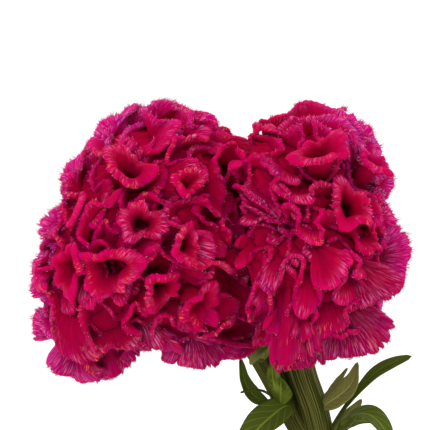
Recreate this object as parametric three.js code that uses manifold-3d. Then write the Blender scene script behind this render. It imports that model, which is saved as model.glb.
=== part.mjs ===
// Potted cockscomb (Celosia argentea, cristata group): two ruffled crimson combs on one leafy stem in a clay pot.
// Millimetres, +Z up. The origin is the centre of the pot's foot, and the plant's face is turned to -Y.
//
// Each comb is a body whose hull is star-shaped round its centre. The hull is given by an outline seen from the
// front and a half depth. Ruffled rings of crest stand on a small core, one behind the other from the crown to
// the stem, and their rims lie on the hull.

import * as THREE from "three";
import { mergeVertices } from "three/addons/utils/BufferGeometryUtils.js";
import Module from "manifold-3d";

const wasm = await Module();
wasm.setup();

// Pot
const POT_HEIGHT = 150;
const POT_RIM_RADIUS = 86;
const POT_FOOT_RADIUS = 58;
const POT_WALL = 6;
const POT_FLOOR = 8;
const COLLAR_HEIGHT = 30;
const COLLAR_STEP = 4;
const POT_SIDES = 32;
const DRAIN_RADIUS = 5;
const DRAIN_CIRCLE = 30;
const DRAIN_COUNT = 4;

// Soil
const SOIL_TOP = 130;
const SOIL_SWELL = 5;
const SOIL_CRUMB = 2.2;

// Gap kept between two pieces that touch
const SEAT_GAP = 0.3;

// Stem
const MAIN_WIDTH = 15;
const BRANCH_WIDTH = 9.5;
const STEM_FLATNESS = 0.8;
const STEM_RIBS = 7;
const STEM_RIB_DEPTH = 0.07;
const STEM_SIDES = 14;
const STEM_ROOT_DEPTH = 62;

// Leaves
const LEAF_THICKNESS = 1;
const LEAF_STALK = 9;
const LEAF_FOLD = 0.28;
const GOLDEN_ANGLE = THREE.MathUtils.degToRad(137.5);

// The view from the front: a square picture of this many pixels a side, this many millimetres a pixel at the
// pot's axis, its camera a little above. AXIS_COLUMN is the axis's column, LOWER_EDGE the height of the last row.
const PICTURE = 430;
const PIXEL = 0.55;
const AXIS_COLUMN = 338;
const LOWER_EDGE = 228;
const CAMERA_RISE = THREE.MathUtils.degToRad(6);
const CAMERA_DISTANCE = 657;

// Combs
const CORE_SHARE = 0.48;
const RING_STEP = 0.375;
const FIRST_RING = 0.18;
const LAST_RING = 2.6;
const FOLD_LENGTH = 39;
const FOLD_REACH = 0.19;
const TYPICAL_RADIUS = 72;
const FRILL_THICKNESS = 2;
const COLUMNS_A_FOLD = 6;
const FRILL_ROWS = [0, 0.66, 1];
const WARP = 0.16;
const WARP_RATE = 3;

// The combs press against each other along a slanting plane, and each keeps this far from it.
const PRESS_POINT = new THREE.Vector3(-60, -40, 343);
const PRESS_NORMAL = new THREE.Vector3(0.86, -0.5, 0.1).normalize();
const PRESS_GAP = 2.4;

// Outline radii seen from the front, every 15 degrees from +X towards +Z
const leftComb = {
  centre: new THREE.Vector3(-114, 0, 332),
  crown: new THREE.Vector3(-0.7, -0.35, 0.62).normalize(),
  outline: [
    86, 88, 92, 92, 86, 81, 78, 73, 64, 55, 49, 47, 50, 58, 62, 74, 84, 84, 69, 65, 75, 90, 92, 88,
  ],
  halfDepth: 62,
  seed: 3,
};
const rightComb = {
  centre: new THREE.Vector3(-14, 0, 337),
  crown: new THREE.Vector3(0.1, -0.45, 0.89).normalize(),
  outline: [
    45, 43, 51, 59, 65, 72, 74, 70, 78, 88, 86, 80, 76, 74, 76, 80, 84, 82, 78, 78, 74, 64, 65, 59,
  ],
  halfDepth: 60,
  seed: 11,
};

// A repeatable row of numbers from 0 to 1.
function draws(seed) {
  let state = seed;
  return () => {
    state = (state * 16807) % 2147483647;
    return state / 2147483647;
  };
}

function toSolid(geometry) {
  const bare = geometry.clone();
  bare.deleteAttribute("normal");
  bare.deleteAttribute("uv");
  const merged = mergeVertices(bare, 1e-3);
  return new wasm.Manifold(
    new wasm.Mesh({
      numProp: 3,
      vertProperties: new Float32Array(merged.attributes.position.array),
      triVerts: new Uint32Array(merged.index.array),
    }),
  );
}

function toGeometry(solid) {
  const mesh = solid.getMesh();
  const geometry = new THREE.BufferGeometry();
  geometry.setAttribute("position", new THREE.BufferAttribute(new Float32Array(mesh.vertProperties), 3));
  geometry.setIndex(new THREE.BufferAttribute(new Uint32Array(mesh.triVerts), 1));
  geometry.computeVertexNormals();
  return geometry;
}

function joinAll(geometries) {
  return geometries.map(toSolid).reduce((whole, piece) => whole.add(piece));
}

function fromTriangles(points, triangles) {
  const geometry = new THREE.BufferGeometry();
  geometry.setAttribute("position", new THREE.Float32BufferAttribute(points.flatMap((p) => p.toArray()), 3));
  geometry.setIndex(triangles.flat());
  return geometry;
}

// A thin sheet: surface(u, v) gives its middle, columns and rows are the values of u and v, and each face lies
// half the thickness away. Both faces are split into triangles alike. With round set, u = 1 meets u = 0.
function blade(surface, columns, rows, thickness, round = false) {
  const step = 1e-3;
  const faces = [[], []];
  for (const u of columns) {
    for (const v of rows) {
      const middle = surface(u, v);
      const along = surface(u + step, v).sub(surface(u - step, v));
      const across = surface(u, v + step).sub(surface(u, v - step));
      const normal = along.cross(across).normalize();
      faces[0].push(middle.clone().addScaledVector(normal, thickness / 2));
      faces[1].push(middle.clone().addScaledVector(normal, -thickness / 2));
    }
  }
  const count = columns.length;
  const wide = rows.length;
  const back = count * wide;
  const at = (i, j) => (i % count) * wide + j;
  const triangles = [];
  const spans = round ? count : count - 1;
  for (let i = 0; i < spans; i++) {
    for (let j = 0; j < wide - 1; j++) {
      const [a, b, c, d] = [at(i, j), at(i + 1, j), at(i + 1, j + 1), at(i, j + 1)];
      triangles.push([a, b, c], [a, c, d]);
      triangles.push([back + a, back + c, back + b], [back + a, back + d, back + c]);
    }
    const [a, b, c, d] = [at(i, 0), at(i + 1, 0), at(i, wide - 1), at(i + 1, wide - 1)];
    triangles.push([a, back + a, b], [b, back + a, back + b]);
    triangles.push([c, d, back + c], [d, back + d, back + c]);
  }
  if (!round) {
    for (let j = 0; j < wide - 1; j++) {
      const [a, b, c, d] = [at(0, j), at(0, j + 1), at(count - 1, j), at(count - 1, j + 1)];
      triangles.push([a, b, back + a], [b, back + b, back + a]);
      triangles.push([c, back + c, d], [d, back + c, back + d]);
    }
  }
  return fromTriangles([...faces[0], ...faces[1]], triangles);
}

// A solid through closed loops of points, one behind the other, with a flat fan at each end.
function loft(loops) {
  const sides = loops[0].length;
  const points = loops.flat();
  const triangles = [];
  for (let i = 0; i < loops.length - 1; i++) {
    for (let j = 0; j < sides; j++) {
      const next = (j + 1) % sides;
      const [a, b] = [i * sides + j, i * sides + next];
      triangles.push([a, b, b + sides], [a, b + sides, a + sides]);
    }
  }
  for (const [first, turned] of [[0, true], [(loops.length - 1) * sides, false]]) {
    for (let j = 1; j < sides - 1; j++) {
      const [a, b, c] = [first, first + j, first + j + 1];
      triangles.push(turned ? [a, c, b] : [a, b, c]);
    }
  }
  return fromTriangles(points, triangles);
}

// The hull's radius along a direction: the outline's radius there, drawn in towards the half depth, and cut
// short where the other comb presses.
function hullRadius(direction, comb) {
  const count = comb.outline.length;
  const turn = Math.atan2(direction.z, direction.x) / (2 * Math.PI);
  const place = (turn + 1) * count;
  const index = Math.floor(place);
  const share = place - index;
  const near = [-1, 0, 1, 2].map((k) => comb.outline[(index + k) % count]);
  const front = catmullRom(share, ...near);
  const flat = Math.hypot(direction.x, direction.z) / front;
  const free = 1 / Math.hypot(flat, direction.y / comb.halfDepth);
  const room = PRESS_NORMAL.dot(PRESS_POINT.clone().sub(comb.centre));
  const slope = PRESS_NORMAL.dot(direction) * Math.sign(room);
  return slope > 0 ? Math.min(free, (Math.abs(room) - PRESS_GAP) / slope) : free;
}

function catmullRom(t, a, b, c, d) {
  return 0.5 * (2 * b + (c - a) * t + (2 * a - 5 * b + 4 * c - d) * t ** 2 + (3 * b - a - 3 * c + d) * t ** 3);
}

// Bends a direction a little, the same way for every ring of a comb, so that the rings wander and never cross.
function wander(direction, comb) {
  const draw = draws(comb.seed);
  const bend = new THREE.Vector3();
  for (const axis of ["x", "y", "z"]) {
    const wave = new THREE.Vector3(draw() - 0.5, draw() - 0.5, draw() - 0.5).setLength(WARP_RATE);
    bend[axis] = Math.sin(direction.dot(wave) + 2 * Math.PI * draw());
  }
  return direction.clone().addScaledVector(bend, WARP).normalize();
}

// One ruffled ring of crest. Its foot runs plainly round the crown's axis inside the core. Towards the rim it
// grows longer than its place, so that it swings from side to side in folds: across the ring by a sine, and
// along it by a sine of twice the rate, which makes each fold wider at its lip than at its neck.
function frill(comb, ringIndex, polar) {
  const draw = draws(comb.seed * 100 + ringIndex + 1);
  const phase = Array.from({ length: 7 }, () => 2 * Math.PI * draw());
  const folds = Math.max(3, Math.round((2 * Math.PI * Math.sin(polar) * TYPICAL_RADIUS) / FOLD_LENGTH));
  const uneven = Math.min(1, folds / 8);
  const right = new THREE.Vector3(0, 1, 0).cross(comb.crown).normalize();
  const up = comb.crown.clone().cross(right);
  const surface = (u, v) => {
    const turn = 2 * Math.PI * u;
    const swing =
      folds * turn +
      uneven * (0.5 * Math.sin(turn + phase[0]) + 0.45 * Math.sin(2 * turn + phase[1]));
    const reach = FOLD_REACH * (1 + 0.2 * Math.sin(2 * turn + phase[2]));
    const grown = 0.06 + 0.54 * Math.max(0, v) ** 1.6 + 0.4 * Math.max(0, v) ** 6;
    const around = turn - (0.7 * Math.sin(2 * swing) * grown) / folds;
    const angle = polar + reach * Math.sin(swing) * grown;
    const direction = comb.crown
      .clone()
      .multiplyScalar(Math.cos(angle))
      .addScaledVector(right, Math.sin(angle) * Math.cos(around))
      .addScaledVector(up, Math.sin(angle) * Math.sin(around));
    const wandered = wander(direction, comb);
    const rim = 0.95 + 0.04 * Math.sin(3 * turn + phase[3]) + 0.03 * Math.sin(3 * swing + phase[4]);
    const foot = CORE_SHARE * 0.86;
    const radius = (foot + (rim - foot) * v) * hullRadius(wandered, comb);
    return wandered.multiplyScalar(radius).add(comb.centre);
  };
  const count = folds * COLUMNS_A_FOLD;
  const columns = Array.from({ length: count }, (_, i) => i / count);
  return blade(surface, columns, FRILL_ROWS, FRILL_THICKNESS, true);
}

function combCore(comb) {
  const geometry = new THREE.SphereGeometry(1, 14, 8);
  const position = geometry.getAttribute("position");
  const direction = new THREE.Vector3();
  for (let i = 0; i < position.count; i++) {
    direction.fromBufferAttribute(position, i).normalize();
    const point = direction.clone().multiplyScalar(CORE_SHARE * hullRadius(direction, comb));
    position.setXYZ(i, ...point.add(comb.centre).toArray());
  }
  return geometry;
}

function combSolid(comb, stemRoom) {
  const pieces = [combCore(comb)];
  let ringIndex = 0;
  for (let polar = FIRST_RING; polar < LAST_RING; polar += RING_STEP) {
    pieces.push(frill(comb, ringIndex, polar));
    ringIndex += 1;
  }
  return joinAll(pieces).subtract(stemRoom);
}

// A ribbed stem along a curve. Its width runs from one value to the other, and swells at the top where the
// stem flattens out under its comb. With extra set, the solid is that much larger all round.
function stem(curve, widths, swell, extra, steps) {
  const loops = [];
  for (let i = 0; i <= steps; i++) {
    const share = i / steps;
    const ahead = curve.getTangent(share);
    const centre = curve.getPoint(share).addScaledVector(ahead, extra * (2 * share - 1));
    const side = new THREE.Vector3(0, 1, 0).cross(ahead).normalize();
    const front = ahead.clone().cross(side);
    const width = THREE.MathUtils.lerp(widths[0], widths[1], share) + swell * share ** 4;
    const loop = [];
    for (let j = 0; j < STEM_SIDES; j++) {
      const turn = (2 * Math.PI * j) / STEM_SIDES;
      const rib = 1 + STEM_RIB_DEPTH * Math.cos(STEM_RIBS * turn);
      const half = (width / 2) * rib + extra;
      loop.push(
        centre
          .clone()
          .addScaledVector(side, half * Math.cos(turn))
          .addScaledVector(front, half * STEM_FLATNESS * Math.sin(turn)),
      );
    }
    loops.push(loop);
  }
  return loft(loops);
}

const mainCurve = new THREE.CatmullRomCurve3([
  new THREE.Vector3(2, 4, SOIL_TOP - STEM_ROOT_DEPTH),
  new THREE.Vector3(2, 6, SOIL_TOP),
  new THREE.Vector3(-3, 12, 188),
  new THREE.Vector3(-10, 22, 228),
  new THREE.Vector3(-20, 28, 262),
  new THREE.Vector3(-18, 16, 314),
]);
const branchCurve = new THREE.CatmullRomCurve3([
  new THREE.Vector3(-3, 12, 190),
  new THREE.Vector3(-25, 19, 228),
  new THREE.Vector3(-43, 27, 260),
  new THREE.Vector3(-64, 24, 290),
  new THREE.Vector3(-93, 12, 314),
]);

const bareStem = (extra) => [
  stem(mainCurve, [MAIN_WIDTH * 1.15, MAIN_WIDTH], 6, extra, 12),
  stem(branchCurve, [BRANCH_WIDTH, BRANCH_WIDTH], 5, extra, 9),
];

// The point at a depth (its y) that the view from the front shows at a column and row of the picture.
function inPicture([column, row, depth]) {
  const half = PICTURE / 2;
  const aim = new THREE.Vector3((half - AXIS_COLUMN) * PIXEL, 0, LOWER_EDGE + half * PIXEL);
  const back = new THREE.Vector3(0, -Math.cos(CAMERA_RISE), Math.sin(CAMERA_RISE));
  const up = new THREE.Vector3(0, Math.sin(CAMERA_RISE), Math.cos(CAMERA_RISE));
  const camera = aim.clone().addScaledVector(back, CAMERA_DISTANCE);
  const seen = aim.addScaledVector(up, (half - row) * PIXEL);
  seen.x += (column - half) * PIXEL;
  return camera.clone().lerp(seen, (depth - camera.y) / (seen.y - camera.y));
}

// A leaf on a short stalk, along a midrib that starts in the stem's middle. It is turned about its midrib by
// roll, its two halves fold up a little, and its edges wave. The greater broad is, the nearer its widest place
// lies to the tip.
function leaf({ midrib, width, roll = 0, wave = 0.5, broad = 0.75 }) {
  const way = midrib.getPoint(1).sub(midrib.getPoint(0)).setZ(0).normalize();
  const level = new THREE.Vector3(-way.y, way.x, 0);
  const stalk = LEAF_STALK / midrib.getLength();
  const surface = (u, v) => {
    const share = THREE.MathUtils.clamp(u, 0, 1);
    const ahead = midrib.getTangentAt(share);
    const top = ahead.clone().cross(level).normalize();
    const side = top.clone().cross(ahead);
    const beyond = Math.max(0, (share - stalk) / (1 - stalk));
    const half = 0.9 + (width / 2) * Math.max(0, Math.sin(Math.PI * beyond ** broad)) ** 0.9;
    const edge = LEAF_FOLD * Math.abs(v) * half + wave * v * v * Math.sin(9 * u + 2 * v);
    return midrib
      .getPointAt(share)
      .addScaledVector(ahead, (u - share) * width)
      .addScaledVector(side, half * v * Math.cos(roll) - edge * Math.sin(roll))
      .addScaledVector(top, half * v * Math.sin(roll) + edge * Math.cos(roll));
  };
  return blade(surface, [0, stalk, 0.4, 0.66, 0.86, 1], [-1, 0, 1], LEAF_THICKNESS);
}

// A midrib that leaves a point along azimuth and rise, and bends down evenly by droop along its length.
function arc(from, azimuth, rise, length, droop) {
  const points = [0, 0.25, 0.5, 0.75, 1].map((u) => {
    const lift = rise - droop * u;
    const forward = (length * (Math.sin(rise) - Math.sin(lift))) / droop;
    const turned = (length * (Math.cos(lift) - Math.cos(rise))) / droop;
    return from.clone().add(new THREE.Vector3(forward * Math.cos(azimuth), forward * Math.sin(azimuth), turned));
  });
  return new THREE.CatmullRomCurve3(points);
}

const degrees = THREE.MathUtils.degToRad;

// The leaves that the view from the front shows between the combs and the pot. Each starts at a share of a
// stem's curve, and its midrib passes through picture points with their depths.
const shownLeaves = [
  { on: branchCurve, at: 0.3, width: 8.5, roll: -60, through: [[257, 398, 18], [245, 384, 14], [240, 358, 12]] },
  { on: branchCurve, at: 0.32, width: 8, roll: 0, through: [[277, 392, 12], [273, 378, 8], [272, 361, 7]] },
  { on: branchCurve, at: 0.26, width: 11, roll: 0, through: [[281, 401, 13], [281, 391, 8], [281, 378, 6]] },
  {
    on: branchCurve, at: 0.2, width: 19, roll: -22,
    through: [[288, 407, 14], [272, 417, 6], [258, 430, 0], [244, 448, -4], [233, 469, -3]],
  },
  { on: mainCurve, at: 0.6, width: 3.4, roll: 40, through: [[324, 399, 20], [332, 391, 18], [348, 368, 14]] },
  {
    on: mainCurve, at: 0.58, width: 10, roll: 55,
    through: [[326, 406, 18], [340, 395, 14], [352, 383, 12], [358, 362, 12]],
  },
  {
    on: mainCurve, at: 0.5, width: 5, roll: 50, broad: 1.6,
    through: [[333, 425, 20], [343, 410, 18], [366, 382, 14], [378, 371, 13], [393, 363, 12], [412, 356, 12]],
  },
  {
    on: mainCurve, at: 0.47, width: 13, roll: 12, broad: 1.1,
    through: [[341, 428, 14], [350, 418, 8], [362, 414, 2], [375, 419, -4], [386, 434, -8], [391, 455, -8]],
  },
  { on: mainCurve, at: 0.5, width: 8, roll: 40, through: [[343, 425, 22], [354, 411, 20], [362, 399, 20]] },
];

function leaves() {
  const made = shownLeaves.map(({ on, at, through, roll, ...rest }) => {
    const midrib = new THREE.CatmullRomCurve3([on.getPoint(at), ...through.map(inPicture)]);
    return leaf({ midrib, roll: degrees(roll), ...rest });
  });
  const lowerCount = 10;
  for (let i = 0; i < lowerCount; i++) {
    const share = i / (lowerCount - 1);
    const from = mainCurve.getPoint(THREE.MathUtils.lerp(0.27, 0.44, share));
    const rise = degrees(THREE.MathUtils.lerp(42, 40, share));
    const droop = degrees(THREE.MathUtils.lerp(62, 70, share));
    const length = THREE.MathUtils.lerp(100, 62, share);
    const midrib = arc(from, i * GOLDEN_ANGLE, rise, length, droop);
    made.push(leaf({ midrib, width: THREE.MathUtils.lerp(38, 24, share), wave: 1.2 }));
  }
  return made;
}

// The pot's outer radius at a height, below its collar.
function potRadius(height) {
  return THREE.MathUtils.lerp(POT_FOOT_RADIUS, POT_RIM_RADIUS - COLLAR_STEP, height / POT_HEIGHT);
}

function potSolid() {
  const collarFoot = POT_HEIGHT - COLLAR_HEIGHT;
  const lip = 2;
  const profile = [
    [0, 0],
    [POT_FOOT_RADIUS - lip, 0],
    [POT_FOOT_RADIUS, lip],
    [potRadius(collarFoot), collarFoot],
    [potRadius(collarFoot) + COLLAR_STEP, collarFoot + 1.5],
    [POT_RIM_RADIUS, POT_HEIGHT - lip],
    [POT_RIM_RADIUS - lip, POT_HEIGHT],
    [potRadius(POT_HEIGHT) - POT_WALL + lip, POT_HEIGHT],
    [potRadius(POT_HEIGHT) - POT_WALL, POT_HEIGHT - lip],
    [potRadius(POT_FLOOR) - POT_WALL, POT_FLOOR],
    [0, POT_FLOOR],
  ].map(([x, y]) => new THREE.Vector2(x, y));
  const wall = new THREE.LatheGeometry(profile, POT_SIDES).rotateX(Math.PI / 2);
  let solid = toSolid(wall);
  for (let i = 0; i < DRAIN_COUNT; i++) {
    const turn = (2 * Math.PI * (i + 0.5)) / DRAIN_COUNT;
    const drain = new THREE.CylinderGeometry(DRAIN_RADIUS, DRAIN_RADIUS, 4 * POT_FLOOR, 16)
      .rotateX(Math.PI / 2)
      .translate(DRAIN_CIRCLE * Math.cos(turn), DRAIN_CIRCLE * Math.sin(turn), 0);
    solid = solid.subtract(toSolid(drain));
  }
  return solid;
}

function soilHeight(x, y) {
  const outer = potRadius(SOIL_TOP) - POT_WALL;
  const share = Math.hypot(x, y) / outer;
  const crumbs = Math.sin(0.31 * x + 1.3) * Math.sin(0.27 * y + 0.4) + 0.6 * Math.sin(0.62 * x - 0.55 * y);
  return SOIL_TOP + SOIL_SWELL * (1 - share ** 2) + SOIL_CRUMB * crumbs * (1 - share ** 6);
}

function soilSolid(stemRoom) {
  const foot = potRadius(POT_FLOOR) - POT_WALL - SEAT_GAP;
  const shoulder = potRadius(SOIL_TOP) - POT_WALL - SEAT_GAP;
  const rings = 6;
  const bottom = POT_FLOOR + SEAT_GAP;
  const profile = [[0, bottom], [foot, bottom], [shoulder, SOIL_TOP]];
  for (let i = rings - 1; i >= 0; i--) {
    profile.push([(shoulder * i) / rings, SOIL_TOP]);
  }
  const geometry = new THREE.LatheGeometry(profile.map(([x, y]) => new THREE.Vector2(x, y)), 26);
  geometry.rotateX(Math.PI / 2);
  const position = geometry.getAttribute("position");
  for (let i = 0; i < position.count; i++) {
    const [x, y] = [position.getX(i), position.getY(i)];
    if (position.getZ(i) > SOIL_TOP - 1) {
      position.setZ(i, soilHeight(x, y));
    }
  }
  return toSolid(geometry).subtract(stemRoom);
}

const materials = {
  clay: new THREE.MeshStandardMaterial({ color: 0xb4623f, roughness: 0.85, metalness: 0 }),
  soil: new THREE.MeshStandardMaterial({ color: 0x35261c, roughness: 1, metalness: 0 }),
  green: new THREE.MeshStandardMaterial({ color: 0x4d5f22, roughness: 0.6, metalness: 0 }),
  crimson: new THREE.MeshStandardMaterial({ color: 0xb4063f, roughness: 0.75, metalness: 0 }),
};

function named(name, solid, material) {
  const mesh = new THREE.Mesh(toGeometry(solid), material);
  mesh.name = name;
  return mesh;
}

const stemRoom = joinAll(bareStem(SEAT_GAP));
const plant = new THREE.Group();
plant.add(named("pot", potSolid(), materials.clay));
plant.add(named("soil", soilSolid(stemRoom), materials.soil));
plant.add(named("leafy_stem", joinAll([...bareStem(0), ...leaves()]), materials.green));
plant.add(named("comb_left", combSolid(leftComb, stemRoom), materials.crimson));
plant.add(named("comb_right", combSolid(rightComb, stemRoom), materials.crimson));

export default plant;
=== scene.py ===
from functools import partial

import bpy
import numpy as np
from bpy.props import FloatProperty, FloatVectorProperty, IntProperty, PointerProperty
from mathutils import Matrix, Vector


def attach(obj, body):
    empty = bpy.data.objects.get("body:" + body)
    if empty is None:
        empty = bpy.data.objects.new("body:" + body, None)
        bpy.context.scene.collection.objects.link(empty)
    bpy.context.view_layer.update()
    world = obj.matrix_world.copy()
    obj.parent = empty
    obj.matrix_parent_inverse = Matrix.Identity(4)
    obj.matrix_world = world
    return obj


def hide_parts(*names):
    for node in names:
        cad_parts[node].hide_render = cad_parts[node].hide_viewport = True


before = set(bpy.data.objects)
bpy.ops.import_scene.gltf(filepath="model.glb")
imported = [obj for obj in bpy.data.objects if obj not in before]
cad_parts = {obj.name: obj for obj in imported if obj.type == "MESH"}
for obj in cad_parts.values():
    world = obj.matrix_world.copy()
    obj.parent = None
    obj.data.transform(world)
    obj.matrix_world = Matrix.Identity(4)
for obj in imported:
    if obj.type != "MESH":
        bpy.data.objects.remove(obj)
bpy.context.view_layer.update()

bl_info = {
    "name": "Potted cockscomb",
    "version": (1, 0, 0),
    "blender": (4, 5, 0),
    "location": "3D View > Sidebar > Plant",
    "description": "Builds the crests, fringe, stems, leaves, soil and pot of a potted cockscomb",
    "category": "Object",
}

MM = 0.001
TAU = 2 * np.pi

# The view from the front: a square picture of this many pixels a side, this many millimetres a pixel at the
# pot's axis, which is at AXIS_COLUMN. Its last row is at the height LOWER_EDGE, and its camera a little
# above. AIM is its middle.
PICTURE = 430
PIXEL = 0.55
AXIS_COLUMN = 338
LOWER_EDGE = 228.0
CAMERA_RISE = np.radians(6)
CAMERA_DISTANCE = 657.0
AIM = np.array([(PICTURE / 2 - AXIS_COLUMN) * PIXEL, 0.0, LOWER_EDGE + PICTURE / 2 * PIXEL])

# The two combs, in millimetres. The outline holds the hull's radius seen from the front, every 15 degrees
# from +X towards +Z. The crown is the middle of its rings. The fineness gives directions round which the
# folds are finer, or coarser where it is negative. Cups are open funnels among the folds: their rim's
# middle as a picture point with its depth, and its radius. A hollow has a middle, a radius and a depth as a
# share of the hull's radius.
COMBS = {
    "left": {
        "centre": np.array([-114.0, 0.0, 332.0]),
        "crown": (-0.7, -0.35, 0.62),
        "outline": (
            86, 88, 92, 85, 81, 80, 77, 68, 57, 52, 46, 46, 49, 56, 61, 73, 83, 84, 66, 66, 76, 91, 94, 90,
        ),
        "half_depth": 62,
        "fineness": [((0.9, -0.4, -0.1), 0.6), ((-0.7, -0.5, -0.2), -0.15)],
        "cups": [
            ((142, 222, -57), 10), ((108, 273, -58), 14), ((66, 272, -46), 11), ((128, 165, -46), 11),
            ((162, 292, -52), 10), ((190, 180, -54), 7), ((188, 246, -58), 8), ((202, 308, -48), 10),
        ],
        "hollows": [],
        "seed": 3,
    },
    "right": {
        "centre": np.array([-14.0, 0.0, 337.0]),
        "crown": (0.1, -0.45, 0.89),
        "outline": (
            40, 40, 46, 54, 62, 70, 72, 67, 76, 88, 86, 80, 76, 74, 76, 80, 84, 82, 78, 74, 66, 56, 52, 46,
        ),
        "half_depth": 60,
        "fineness": [((-0.8, -0.6, 0.0), 0.9), ((0.5, -0.4, -0.8), -0.35)],
        "cups": [((322, 148, -46), 12), ((352, 205, -50), 11), ((376, 160, -30), 10)],
        "hollows": [((268, 226, -45), 15, 0.45)],
        "seed": 11,
    },
}
HEAD_CENTRE = np.mean([comb["centre"] for comb in COMBS.values()], axis=0)
# The plane where the two combs press against each other, and the gap that each leaves at it
PRESS_POINT = np.array([-60.0, -40.0, 343.0])
PRESS_NORMAL = np.array([0.86, -0.5, 0.1]) / np.linalg.norm([0.86, -0.5, 0.1])
PRESS_GAP = 1.2
# Half the thickness of a crest's sheet at its lip and at its foot, in millimetres
LIP_HALF = 1.05
FOOT_HALF = 0.5
# Depth of the dent that a cup sits in, as a share of the hull's radius
CUP_DENT = 0.3
# The combs' mean radius, which the count of folds goes by, and the ruffles' length along a lip, in
# millimetres
MEAN_RADIUS = 72
RUFFLE_WAVE = 11.0
# The rows of a crest's sheet, as shares of the way from its foot to its edge
ROWS = np.array([0, 0.3, 0.5, 0.66, 0.78, 0.87, 0.94, 1.0])[None, :]

# Open fans of crest that hang from the combs or stand at their outline, striated or as velvety as the
# folds: the root and the middle of the rim as picture points with depths, the spread in degrees, and how
# far the middle arches forward in millimetres.
FANS = {
    "left": {
        "striated": [
            ((66, 330, 4), (33, 324, 0), 70, 3),
            ((90, 318, -14), (84, 377, -14), 90, 9),
            ((132, 300, -30), (140, 350, -32), 75, 6),
            ((192, 318, -20), (193, 367, -22), 95, 6),
        ],
        "velvety": [
            ((100, 312, -22), (124, 368, -24), 50, 5),
            ((142, 150, 2), (141, 105, 2), 50, 3),
            ((122, 146, -6), (105, 122, -4), 100, 4),
            ((94, 188, -10), (68, 171, -6), 110, 5),
            ((78, 234, -12), (47, 222, -8), 110, 5),
            ((66, 282, -12), (35, 267, -8), 115, 5),
        ],
    },
    "right": {
        "striated": [
            ((362, 258, -20), (407, 265, -16), 118, 4),
            ((345, 258, -40), (376, 301, -38), 88, 6),
            ((338, 296, -32), (359, 352, -27), 98, 7),
            ((315, 280, -44), (318, 358, -38), 10, 2),
        ],
        "velvety": [
            ((291, 244, -30), (296, 360, -42), 30, 10),
            ((290, 292, -34), (277, 340, -44), 50, 6),
            ((300, 292, -36), (300, 338, -48), 34, 4),
            ((314, 244, -50), (339, 281, -56), 76, 8),
            ((348, 152, -8), (366, 130, -4), 105, 4),
            ((364, 184, -10), (385, 170, -6), 110, 4),
            ((366, 222, -12), (388, 212, -8), 105, 4),
        ],
    },
}

MAIN_STEM = [(2, 4, 68), (2, 6, 130), (-3, 12, 188), (-10, 22, 228), (-20, 28, 262), (-11, 3, 317)]
SIDE_STEM = [(-3, 12, 190), (-25, 19, 228), (-43, 27, 260), (-64, 24, 290), (-93, 12, 314)]

# Leaves that the picture shows: stem, share of the stem's length, width, roll about the midrib, breadth,
# tone, and the midrib's picture points with their depths.
SHOWN_LEAVES = [
    ("side", 0.30, 8.5, -60, 0.75, "green", [(257, 398, 18), (245, 384, 14), (240, 358, 12)]),
    ("side", 0.32, 8, 0, 0.75, "green", [(277, 392, 12), (273, 378, 8), (272, 361, 7)]),
    ("side", 0.26, 11, 0, 0.75, "green", [(281, 401, 13), (281, 391, 8), (281, 378, 6)]),
    (
        "side", 0.20, 19, -22, 0.75, "green",
        [(288, 407, 14), (272, 417, 6), (258, 430, 0), (244, 448, -4), (233, 469, -3)],
    ),
    ("main", 0.60, 4.2, 40, 0.75, "olive", [(324, 399, 20), (332, 391, 18), (348, 368, 14)]),
    ("main", 0.58, 13, 55, 0.75, "olive", [(326, 406, 18), (340, 396, 14), (352, 384, 12), (358, 362, 12)]),
    (
        "main", 0.50, 5.5, 50, 2.4, "green",
        [(333, 425, 20), (343, 410, 18), (366, 382, 14), (378, 371, 13), (393, 363, 12), (412, 356, 12)],
    ),
    (
        "main", 0.47, 13, 12, 1.1, "green",
        [(341, 428, 14), (350, 418, 8), (362, 414, 2), (375, 419, -4), (386, 434, -8), (391, 455, -8)],
    ),
    ("main", 0.50, 8, 40, 0.75, "olive", [(343, 425, 22), (354, 411, 20), (362, 399, 20)]),
    # Bracts under the left comb and dark leaves behind the stems
    ("side", 0.24, 15, 0, 0.75, "green", [(298, 424, 26), (290, 396, 28), (280, 370, 30), (268, 342, 30)]),
    ("side", 0.34, 9, 0, 0.75, "green", [(284, 398, 30), (272, 372, 31), (262, 345, 31)]),
    ("side", 0.50, 6, -10, 0.75, "green", [(259, 360, 14), (254, 345, 10), (249, 322, 6)]),
    ("side", 0.50, 3.5, 10, 0.75, "olive", [(263, 358, 12), (264, 348, 8), (260, 330, 6)]),
    ("side", 0.54, 7, 10, 0.75, "olive", [(264, 347, 10), (257, 353, 7), (250, 365, 6)]),
    ("side", 0.56, 4.5, -40, 0.75, "olive", [(255, 349, 12), (248, 350, 8), (242, 357, 7)]),
    ("side", 0.60, 3, -30, 0.75, "green", [(248, 345, 12), (241, 346, 10), (235, 351, 9)]),
    ("side", 0.48, 3, 20, 0.75, "olive", [(266, 356, 12), (268, 348, 9), (266, 334, 8)]),
    ("side", 0.30, 1.6, 0, 0.75, "green", [(262, 391, 12), (252, 390, 9), (240, 393, 8)]),
    ("main", 0.48, 12, 10, 0.75, "green", [(345, 426, 26), (360, 421, 28), (380, 424, 30)]),
]
LOWER_LEAVES = 10
GOLDEN_ANGLE = 137.5
STALK_LENGTH = 9
# The side veins' beat along a leaf, in radians over its length, and how far they slant at its edge
VEIN_RATE = 62.0
VEIN_SLANT = 0.22

# The pot, in millimetres
POT_HEIGHT = 150
POT_FOOT = 58
POT_RIM = 82
POT_WALL = 6
POT_FLOOR = 8
SOIL_TOP = 130
SOIL_RINGS = 60
SEAT_GAP = 0.3

# The stage, in metres
FLOOR_REACH = 3.0
LIT_POINT = Vector((-0.06, 0, 0.32))


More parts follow.
